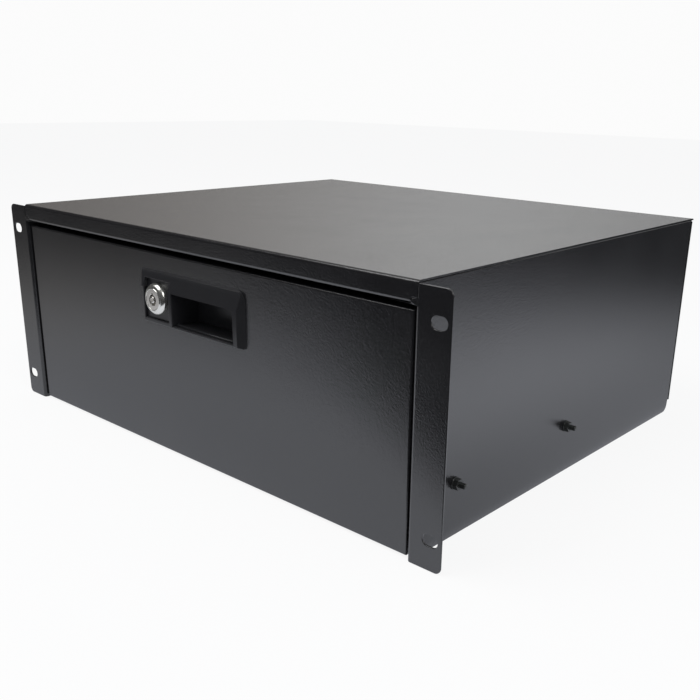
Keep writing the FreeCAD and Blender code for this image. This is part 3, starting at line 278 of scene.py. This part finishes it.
def paperMaterial():
    material = bpy.data.materials.new("floor_paper")
    material.use_nodes = True
    graph = Graph(material.node_tree)
    camera, mirrored = graph.rays()
    # the paper's glow, as mirrored, is a painted pool of light with painted shade in it
    paintedPool = paintedPoolOfLight(graph)
    share = camera * paper["share"] + mirrored * paintedPool * paper["mirrorShare"]
    share = share + (1 - camera) * (1 - mirrored) * paper["bounceShare"]
    lit = graph.add("ShaderNodeBsdfDiffuse", {}, {"Color": share})
    tint = graph.mixColour(graph.step(graph.axis("Object", 0), *paper["tintChange"]),
                           paper["warm"], paper["cool"])
    glow = graph.add("ShaderNodeEmission", {}, {
        "Color": graph.mixColour(camera, tint, white),
        "Strength": camera * paper["glow"] + mirrored * paintedPool * paper["mirrorGlow"]})
    surface = graph.add("ShaderNodeAddShader", {}, {0: lit, 1: glow})
    graph.add("ShaderNodeOutputMaterial", {}, {"Surface": surface})
    return material


def makeFloor():
    mesh = bmesh.new()
    bmesh.ops.create_grid(mesh, x_segments=1, y_segments=1, size=paper["size"])
    bmesh.ops.translate(mesh, verts=mesh.verts, vec=(0, 0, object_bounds()[0].z - paper["drop"]))
    objectFrom(mesh, "floor", paperMaterial())


# the room, by direction: x, y and z run from -1 to 1
room = {
    "seen": 0.97,                   # white, as the camera sees it
    "tone": (0.90, 0.93, 1.0, 1),   # soft light on the object
    "level": 0.50,
    "wallLevel": 1.05,              # white wall behind, as mirrored, above its foot
    "footLevel": 0.30,
    "footRise": (0.09, 0.21),
    "leftLevel": 0.34,              # the same wall where it runs off to the left
    "leftTone": (1.0, 0.94, 0.89, 1),
    "leftRise": (-0.95, -0.55),
    "rightDim": (-0.56, -0.30, 0.22),  # and it dims a little to the right
    "wallStart": (0.10, 0.50),
    "wallTop": (0.45, 0.75),
    "skyLevel": 0.22,
    "skyRise": (0.55, 0.85),
    "elsewhere": 0.045,
}


def makeWorld():
    world = bpy.data.worlds.new("studio")
    scene.world = world
    world.use_nodes = True
    graph = Graph(world.node_tree)
    camera, mirrored = graph.rays()
    across = graph.axis("Generated", 0)
    back = graph.axis("Generated", 1)
    up = graph.axis("Generated", 2)
    wall = room["footLevel"] + graph.step(up, *room["footRise"]) * (
        room["wallLevel"] - room["footLevel"])
    right = graph.step(across, *room["leftRise"])
    wall = wall * (room["leftLevel"] + right * (1 - room["leftLevel"]))
    dimStart, dimEnd, dimLoss = room["rightDim"]
    wall = wall * (1 - graph.step(across, dimStart, dimEnd) * dimLoss)
    behind = graph.step(back, *room["wallStart"]) * (1 - graph.step(up, *room["wallTop"]))
    sky = graph.step(up, *room["skyRise"]) * room["skyLevel"]
    around = wall * behind + sky + room["elsewhere"]
    level = camera * room["seen"] + mirrored * around
    level = level + (1 - camera) * (1 - mirrored) * room["level"]
    tone = graph.mixColour(right, room["leftTone"], white)
    tone = graph.mixColour(mirrored, room["tone"], tone)
    tone = graph.mixColour(camera, tone, white)
    light = graph.add("ShaderNodeBackground", {}, {"Color": tone, "Strength": level})
    graph.add("ShaderNodeOutputWorld", {}, {"Surface": light})


# each lamp's place, what it points at, its size in metres and its power in watts
lamps = {
    "key": ((-0.5, -0.6, 1.6), (0, 0.15, 0), (1.2, 1.2), 16),
    "side": ((1.3, -0.2, 1.1), (0.1, 0.15, 0), (0.9, 0.9), 7),
}


def addLamp(name, place, target, size, power):
    data = bpy.data.lights.new(name, "AREA")
    data.shape = "RECTANGLE"
    data.size, data.size_y = size
    data.energy = power
    lamp = bpy.data.objects.new(name, data)
    scene.collection.objects.link(lamp)
    lamp.location = place
    lamp.rotation_mode = "QUATERNION"
    lamp.rotation_quaternion = (Vector(target) - Vector(place)).to_track_quat("-Z", "Y")


makeFloor()
makeWorld()
for name, values in lamps.items():
    addLamp(name, *values)
scene.view_settings.view_transform = "Standard"
print("studio set")

# finishes: a grain or haze is a noise's scale, detail and roughness
powder = {
    "dark": (0.0124, 0.0124, 0.0133, 1),
    "light": (0.0163, 0.0163, 0.0173, 1),
    "grain": 800,
    "grainKind": (2.5, 0.55, 0.6),
    "pebble": 2.3,                  # times as fine as the grain
    "pebbleKind": (1.5, 0.5),
    "pebbleShare": 0.2,
    "relief": (0.55, 0.00027),      # strength and height
    "patches": (14, 3.0, 0.5),
    "patchEdges": [(0.35, 0.0), (0.70, 1.0)],
    "roughness": 0.14,
    "patchRoughness": 0.05,
    "grainRoughness": 0.06,
}


def powderSurface(graph):
    place = graph.objectPlace()
    grain = graph.noise(place, powder["grain"], *powder["grainKind"])
    pebble = graph.noise(place, powder["grain"] * powder["pebble"], *powder["pebbleKind"])
    worn = graph.ramp(graph.noise(place, *powder["patches"]), powder["patchEdges"])
    rough = powder["roughness"] + worn * powder["patchRoughness"]
    height = grain * (1 - powder["pebbleShare"]) + pebble * powder["pebbleShare"]
    return {
        "Base Color": graph.mixColour(worn, powder["dark"], powder["light"]),
        "Roughness": rough + grain * powder["grainRoughness"],
        "Normal": graph.bump(height, *powder["relief"]),
    }


zinc = {
    "dark": (0.56, 0.58, 0.62, 1),
    "light": (0.72, 0.72, 0.70, 1),
    "cloud": (60, 3.0, 0.6),
    "brushed": (900, 3.0, 0.6),
    "stretch": (1, 0.04, 1),        # brushed along the slides
    "roughness": 0.22,
    "brushedRoughness": 0.16,
    "cloudRoughness": 0.08,
    "relief": (0.12, 0.00004),
}


def zincSurface(graph):
    brushed = graph.noise(graph.objectPlace(zinc["stretch"]), *zinc["brushed"])
    cloud = graph.noise(graph.objectPlace(), *zinc["cloud"])
    rough = zinc["roughness"] + brushed * zinc["brushedRoughness"]
    return {
        "Base Color": graph.mixColour(cloud, zinc["dark"], zinc["light"]),
        "Roughness": rough + cloud * zinc["cloudRoughness"],
        "Normal": graph.bump(brushed, *zinc["relief"]),
    }


def hazed(graph, look):
    # tone and polish that drift a little over the piece
    haze = graph.noise(graph.objectPlace(), *look["haze"])
    return {
        "Base Color": graph.mixColour(haze, look["dark"], look["light"]),
        "Roughness": look["roughness"] + haze * look["hazeRoughness"],
    }


plastic = {
    "dark": (0.017, 0.017, 0.019, 1),
    "light": (0.022, 0.022, 0.024, 1),
    "haze": (45, 2.0, 0.5),
    "roughness": 0.27,
    "hazeRoughness": 0.10,
    "grain": (2100, 2.0, 0.5),
    "relief": (0.25, 0.00005),
}


def plasticSurface(graph):
    surface = hazed(graph, plastic)
    grain = graph.noise(graph.objectPlace(), *plastic["grain"])
    surface["Normal"] = graph.bump(grain, *plastic["relief"])
    return surface


chrome = {
    "dark": (0.69, 0.69, 0.66, 1),
    "light": (0.79, 0.78, 0.73, 1),
    "haze": (160, 3.0, 0.6),
    "roughness": 0.17,
    "hazeRoughness": 0.08,
}


def chromeSurface(graph):
    return hazed(graph, chrome)


nickel = {
    "dark": (0.66, 0.64, 0.60, 1),
    "light": (0.80, 0.78, 0.74, 1),
    "haze": (320, 3.0, 0.6),
    "roughness": 0.26,
    "hazeRoughness": 0.10,
    "fine": (3800, 2.0, 0.5),
    "stretch": (1, 0.2, 1),
    "relief": (0.10, 0.00002),
}


def nickelSurface(graph):
    surface = hazed(graph, nickel)
    fine = graph.noise(graph.objectPlace(nickel["stretch"]), *nickel["fine"])
    surface["Normal"] = graph.bump(fine, *nickel["relief"])
    return surface


oxide = {
    "dark": (0.030, 0.032, 0.031, 1),
    "light": (0.060, 0.063, 0.060, 1),
    "haze": (400, 2.0, 0.5),
    "roughness": 0.14,
    "hazeRoughness": 0.14,
}


def oxideSurface(graph):
    return hazed(graph, oxide)


coated = {"IOR": 1.6, "Specular IOR Level": 0.6}
bare = {"Metallic": 1.0}
finishes = {
    "black_powder_coat": newMaterial("powder_coat", coated, powderSurface),
    "zinc_steel": newMaterial("bright_zinc", bare, zincSurface),
    "black_oxide": newMaterial("black_oxide", {"Metallic": 0.4}, oxideSurface),
    "ball_steel": newMaterial("ball_steel", bare, chromeSurface),
    "black_plastic": newMaterial("grained_plastic", {"IOR": 1.46}, plasticSurface),
    "chrome": newMaterial("chrome", {"Metallic": 0.92}, chromeSurface),
    "satin_nickel": newMaterial("satin_nickel", bare, nickelSurface),
}
slotOf = {row["node"]: row["material_slot"] for row in frame["record"]["subparts"]}
bodyOf = {}
for bodyName, members in frame["record"]["behaviour"]["bodies"].items():
    for member in members:
        bodyOf[member] = bodyName
for name, node in nodes.items():
    node.data.materials.clear()
    node.data.materials.append(finishes[slotOf[name]])
print("finishes made")

# each node's rounding: its width, its segments and the shortest edge that is rounded
edgePlan = {
    "top_panel": (0.0005, 3, 0.001),
    "right_side_panel": (0.0005, 3, 0),
    "left_side_panel": (0.0005, 3, 0),
    "rear_panel": (0.0004, 2, 0),
    "drawer_front": (0.0005, 3, 0),
    "drawer_tray": (0.0003, 2, 0),
    "handle_bezel": (0.0006, 3, 0.001),
    "right_outer_member": (0.0003, 2, 0),
    "left_outer_member": (0.0003, 2, 0),
    "right_middle_member": (0.0003, 2, 0),
    "left_middle_member": (0.0003, 2, 0),
    "right_inner_member": (0.0003, 2, 0.001),
    "left_inner_member": (0.0003, 2, 0.001),
    "right_release_lever": (0.0004, 2, 0),
    "left_release_lever": (0.0004, 2, 0),
    "right_outer_cage": (0.00012, 1, 0),
    "left_outer_cage": (0.00012, 1, 0),
    "right_inner_cage": (0.00012, 1, 0),
    "left_inner_cage": (0.00012, 1, 0),
    "lock_cam": (0.0004, 2, 0),
    "lock_nut": (0.0003, 2, 0.002),
    "cam_screw": (0.0003, 2, 0),
    "front_screws": (0.00015, 1, 0),
    "drawer_slide_screws": (0.00015, 1, 0),
    "slide_washers": (0.0002, 1, 0),
    "slide_nuts": (0.0002, 2, 0.002),
    "rear_rivets": (0.00012, 1, 0),
}
rounding = {
    "flat": 0.6,                    # degrees within which facets count as one face
    "sheetAngle": 32,               # sharper edges than this are rounded
    "mouldAngle": 40,
    "mouldBack": 0.0019,            # the bezel's own edges end where the drawer front starts
    "crease": 40,                   # flatter edges than this are shaded smooth
    "join": 1e-6,                   # corners closer than this are one
    "weight": 80,
}
tab = {
    "width": 0.0012,                # the corner tab's lower edge, rounded like the header's bend
    "segments": 4,
    "inner": 0.2113,                # it starts this far from the middle
    "low": 0.0745,
    "near": 1e-4,
}


def mergedCopy(name):
    # the node's own mesh with its loose triangles joined into whole faces
    mesh = bmesh.new()
    mesh.from_mesh(nodes[name].data)
    bmesh.ops.remove_doubles(mesh, verts=mesh.verts, dist=rounding["join"])
    bmesh.ops.dissolve_limit(mesh, angle_limit=math.radians(rounding["flat"]),
                             verts=mesh.verts, edges=mesh.edges)
    return mesh


def bevelEdges(mesh, edges, width, segments):
    bmesh.ops.bevel(mesh, geom=edges, offset=width, offset_type="OFFSET", segments=segments,
                    profile=0.5, affect="EDGES", clamp_overlap=False, material=-1)


def roundEdges(mesh, width, segments, shortest, angle, behind):
    # outer edges only, as paint or a mould leaves them
    sharp = [edge for edge in mesh.edges
             if len(edge.link_faces) == 2 and edge.is_convex
             and edge.calc_face_angle() > math.radians(angle)
             and edge.calc_length() > shortest
             and all(corner.co.y < behind for corner in edge.verts)]
    bevelEdges(mesh, sharp, width, segments)


def roundTab(mesh):
    # the corner tab carries the header's lower bend on to the ear
    lower = [edge for edge in mesh.edges
             if len(edge.link_faces) == 2
             and all(abs(corner.co.y) < tab["near"] and abs(corner.co.z - tab["low"]) < tab["near"]
                     and abs(corner.co.x) > tab["inner"] for corner in edge.verts)]
    bevelEdges(mesh, lower, tab["width"], tab["segments"])


def finishPiece(mesh, name, replaced, crease):
    # smooth shading with creases kept, and the piece stands for its node
    for face in mesh.faces:
        face.smooth = True
    for edge in mesh.edges:
        edge.smooth = len(edge.link_faces) != 2 or edge.calc_face_angle() < math.radians(crease)
    piece = objectFrom(mesh, name, finishes[slotOf[replaced]])
    weights = piece.modifiers.new("weights", "WEIGHTED_NORMAL")
    weights.keep_sharp = True
    weights.weight = rounding["weight"]
    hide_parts(replaced)
    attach(piece, bodyOf[replaced])


def roundParts():
    for name, (width, segments, shortest) in edgePlan.items():
        mesh = mergedCopy(name)
        if "side_panel" in name:
            roundTab(mesh)
        moulded = name == "handle_bezel"
        angle = rounding["mouldAngle"] if moulded else rounding["sheetAngle"]
        behind = rounding["mouldBack"] if moulded else math.inf
        roundEdges(mesh, width, segments, shortest, angle, behind)
        finishPiece(mesh, name + "_dressed", name, rounding["crease"])


roundParts()
print("edges rounded")

# thin lip inside the finger pull
pullLip = {
    "left": -0.0089,
    "right": 0.0592,
    "low": 0.0196,
    "high": 0.0212,
    "front": 0.0002,
    "back": 0.0030,
    "edge": 0.0005,
    "segments": 3,
}


def makePullLip():
    mesh = bmesh.new()
    bmesh.ops.create_cube(mesh, size=1)
    size = (pullLip["right"] - pullLip["left"], pullLip["back"] - pullLip["front"],
            pullLip["high"] - pullLip["low"])
    middle = ((pullLip["right"] + pullLip["left"]) / 2, (pullLip["back"] + pullLip["front"]) / 2,
              (pullLip["high"] + pullLip["low"]) / 2)
    bmesh.ops.scale(mesh, verts=mesh.verts, vec=size)
    bmesh.ops.translate(mesh, verts=mesh.verts, vec=middle)
    upper = [edge for edge in mesh.edges
             if all(corner.co.z > middle[2] for corner in edge.verts)]
    bevelEdges(mesh, upper, pullLip["edge"], pullLip["segments"])
    for face in mesh.faces:
        face.smooth = True
    lip = objectFrom(mesh, "pull_lip", finishes["black_plastic"])
    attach(lip, "drawer")


makePullLip()
print("pull lip made")

lock = {
    "steps": 96,
    "crease": 50,
    "ringAngle": 28,                # sharper rings than this are rounded
    "edge": 0.00018,                # the collar's rounding, and the plug's
    "plugEdge": 0.00009,
    "edgeSegments": 2,
    "sink": 0.0004,                 # the collar's flat behind the key post's end
    "faceSink": 0.0006,             # the plug's face behind the same
    "plugFace": 0.0076,             # radius of the plug's flat face
    "faceRim": 0.0004,              # thickness of that face
    "gap": 0.00012,                 # round the plug
    "seat": 0.0007,                 # depth of the collar's seat for the face
    "flat": 0.0084,                 # radius of the collar's flat rim
    "rimFall": 0.0005,
    "domeStart": 0.0087,
    "domeDepth": 0.0042,
    "domeSteps": 12,
    "collarHeight": 0.0062,         # the collar's back sits on the recess floor
    "barrelRadius": 0.0093,
    "threadStart": 0.004,           # behind the collar
    "threadEnd": 0.001,             # before the barrel's end
    "threadPitch": 0.00125,
    "threadDepth": 0.00045,
    "endEdge": 0.0006,
    "tail": 0.002,                  # left off, where the cam sits
    "postRadius": 0.0025,
    "postHole": 0.0008,
    "postEdge": 0.0004,
    "keyRing": 0.0040,
    "keyDepth": 0.0035,
    "notchReach": 0.0049,
    "notchDepth": 0.0015,
    "notchTurn": 11,                # degrees to either side of upright
    "notchMargin": 0.0001,
    "wallReach": 0.0036,
    "wallMargin": 0.00005,
    "level": 1e-5,                  # faces this near count as level
}
barrelLow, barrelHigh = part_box("lock_barrel")
plugLow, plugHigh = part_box("lock_plug")
plugRadius = (plugHigh.x - plugLow.x) / 2


def spunShape(outline, axis, closed):
    # outline of (place along the lock's axis, radius), turned about that axis
    mesh = bmesh.new()
    corners = [mesh.verts.new((axis.x + radius, deep, axis.z)) for deep, radius in outline]
    for first, second in zip(corners, corners[1:]):
        mesh.edges.new((first, second))
    if closed:
        mesh.edges.new((corners[-1], corners[0]))
    bmesh.ops.spin(mesh, geom=mesh.verts[:] + mesh.edges[:], cent=axis, axis=(0, 1, 0),
                   angle=math.tau, steps=lock["steps"], use_merge=True)
    bmesh.ops.remove_doubles(mesh, verts=mesh.verts, dist=rounding["join"])
    bmesh.ops.recalc_face_normals(mesh, faces=mesh.faces)
    return mesh


def softenRings(mesh, width):
    sharp = [edge for edge in mesh.edges
             if len(edge.link_faces) == 2
             and edge.calc_face_angle() > math.radians(lock["ringAngle"])]
    bevelEdges(mesh, sharp, width, lock["edgeSegments"])


def collarOutline(low, high, radius):
    front = low + lock["sink"]
    back = low + lock["collarHeight"]
    outline = [(front + lock["seat"], lock["plugFace"] + lock["gap"]),
               (front, lock["plugFace"] + lock["gap"]),
               (front, lock["flat"]),
               (front + lock["rimFall"], lock["domeStart"])]
    for index in range(1, lock["domeSteps"] + 1):
        turn = math.radians(90 * index / lock["domeSteps"])
        fall = lock["domeDepth"] * (1 - math.cos(turn))
        outline.append((front + lock["rimFall"] + fall,
                        lock["domeStart"] + (radius - lock["domeStart"]) * math.sin(turn)))
    outline += [(back, radius), (back, lock["barrelRadius"])]
    crest = back + lock["threadStart"]
    while crest + lock["threadPitch"] < high - lock["threadEnd"]:
        outline += [(crest, lock["barrelRadius"]),
                    (crest + lock["threadPitch"] / 2,
                     lock["barrelRadius"] - lock["threadDepth"])]
        crest += lock["threadPitch"]
    outline += [(crest, lock["barrelRadius"]),
                (high - lock["endEdge"], lock["barrelRadius"]),
                (high, lock["barrelRadius"] - lock["endEdge"]),
                (high, plugRadius + lock["gap"]),
                (front + lock["seat"], plugRadius + lock["gap"])]
    return outline


def plugOutline(low, high):
    face = low + lock["faceSink"]
    floor = face + lock["keyDepth"]
    return [(floor, 0), (floor, lock["postHole"]),
            (low, lock["postHole"]), (low, lock["postRadius"] - lock["postEdge"]),
            (low + lock["postEdge"], lock["postRadius"]),
            (floor, lock["postRadius"]), (floor, lock["keyRing"]),
            (face + lock["notchDepth"], lock["keyRing"]), (face, lock["keyRing"]),
            (face, lock["notchReach"]), (face, lock["plugFace"]),
            (face + lock["faceRim"], lock["plugFace"]), (face + lock["faceRim"], plugRadius),
            (high, plugRadius), (high, 0)]


def cutNotch(mesh, axis, face):
    # index notch of the keyway, open towards the ring
    def inWindow(place, near, far):
        across, up = place.x - axis.x, place.z - axis.z
        return (near < math.hypot(across, up) < far and up > 0
                and abs(math.atan2(across, up)) < math.radians(lock["notchTurn"]))

    chosen = [item for item in mesh.faces
              if inWindow(item.calc_center_median(), lock["keyRing"] + lock["notchMargin"],
                          lock["notchReach"])
              and abs(item.calc_center_median().y - face) < lock["level"]]
    made = bmesh.ops.extrude_face_region(mesh, geom=chosen)
    moved = [item for item in made["geom"] if isinstance(item, bmesh.types.BMVert)]
    bmesh.ops.translate(mesh, verts=moved, vec=(0, lock["notchDepth"], 0))
    bmesh.ops.delete(mesh, geom=chosen, context="FACES_ONLY")
    wall = [item for item in mesh.faces
            if inWindow(item.calc_center_median(), lock["wallReach"],
                        lock["keyRing"] + lock["wallMargin"])
            and item.calc_center_median().y < face + lock["notchDepth"] - lock["level"]]
    bmesh.ops.delete(mesh, geom=wall, context="FACES")
    bmesh.ops.remove_doubles(mesh, verts=mesh.verts, dist=rounding["join"])
    bmesh.ops.recalc_face_normals(mesh, faces=mesh.faces)


def makeLock():
    axis = (barrelLow + barrelHigh) / 2
    axis.y = 0
    radius = (barrelHigh.x - barrelLow.x) / 2
    collar = spunShape(collarOutline(barrelLow.y, barrelHigh.y, radius), axis, True)
    softenRings(collar, lock["edge"])
    finishPiece(collar, "lock_collar", "lock_barrel", lock["crease"])
    plug = spunShape(plugOutline(barrelLow.y, plugHigh.y - lock["tail"]), axis, False)
    cutNotch(plug, axis, barrelLow.y + lock["faceSink"])
    softenRings(plug, lock["plugEdge"])
    finishPiece(plug, "lock_key_plug", "lock_plug", lock["crease"])


makeLock()
print("lock made")

# threads on the screws that stand out of the walls
thread = {
    "pitch": 0.0007,
    "depth": 0.00032,
    "point": 0.0006,
    "turns": 9,
    "edge": 0.00015,
    "crease": 60,
    "cutNear": 1e-7,
    "rootNear": 2e-6,
}


def screwAxes(mesh):
    # middle of each separate screw in the group
    middleOf = {}
    for start in mesh.verts:
        if start in middleOf:
            continue
        found = [start]
        waiting = [start]
        middleOf[start] = None
        while waiting:
            for edge in waiting.pop().link_edges:
                for corner in edge.verts:
                    if corner not in middleOf:
                        middleOf[corner] = None
                        found.append(corner)
                        waiting.append(corner)
        low = Vector([min(corner.co[axis] for corner in found) for axis in range(3)])
        high = Vector([max(corner.co[axis] for corner in found) for axis in range(3)])
        for corner in found:
            middleOf[corner] = (low + high) / 2
    return middleOf


def makeSlideScrews():
    mesh = mergedCopy("slide_screws")
    roundEdges(mesh, thread["edge"], 1, 0, rounding["sheetAngle"], math.inf)
    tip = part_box("slide_screws")[1].x
    roots = []
    for side in (1, -1):
        for turn in range(2 * thread["turns"]):
            place = side * (tip - thread["point"] - turn * thread["pitch"] / 2)
            bmesh.ops.bisect_plane(mesh, geom=mesh.verts[:] + mesh.edges[:] + mesh.faces[:],
                                   plane_co=(place, 0, 0), plane_no=(1, 0, 0),
                                   dist=thread["cutNear"])
            if turn % 2:
                roots.append(place)
    middleOf = screwAxes(mesh)
    for corner in mesh.verts:
        if min(abs(corner.co.x - root) for root in roots) < thread["rootNear"]:
            middle = middleOf[corner]
            away = Vector((0, corner.co.y - middle.y, corner.co.z - middle.z))
            if away.length > thread["depth"]:
                corner.co -= away.normalized() * thread["depth"]
    finishPiece(mesh, "threaded_slide_screws", "slide_screws", thread["crease"])


makeSlideScrews()
print("threads cut")
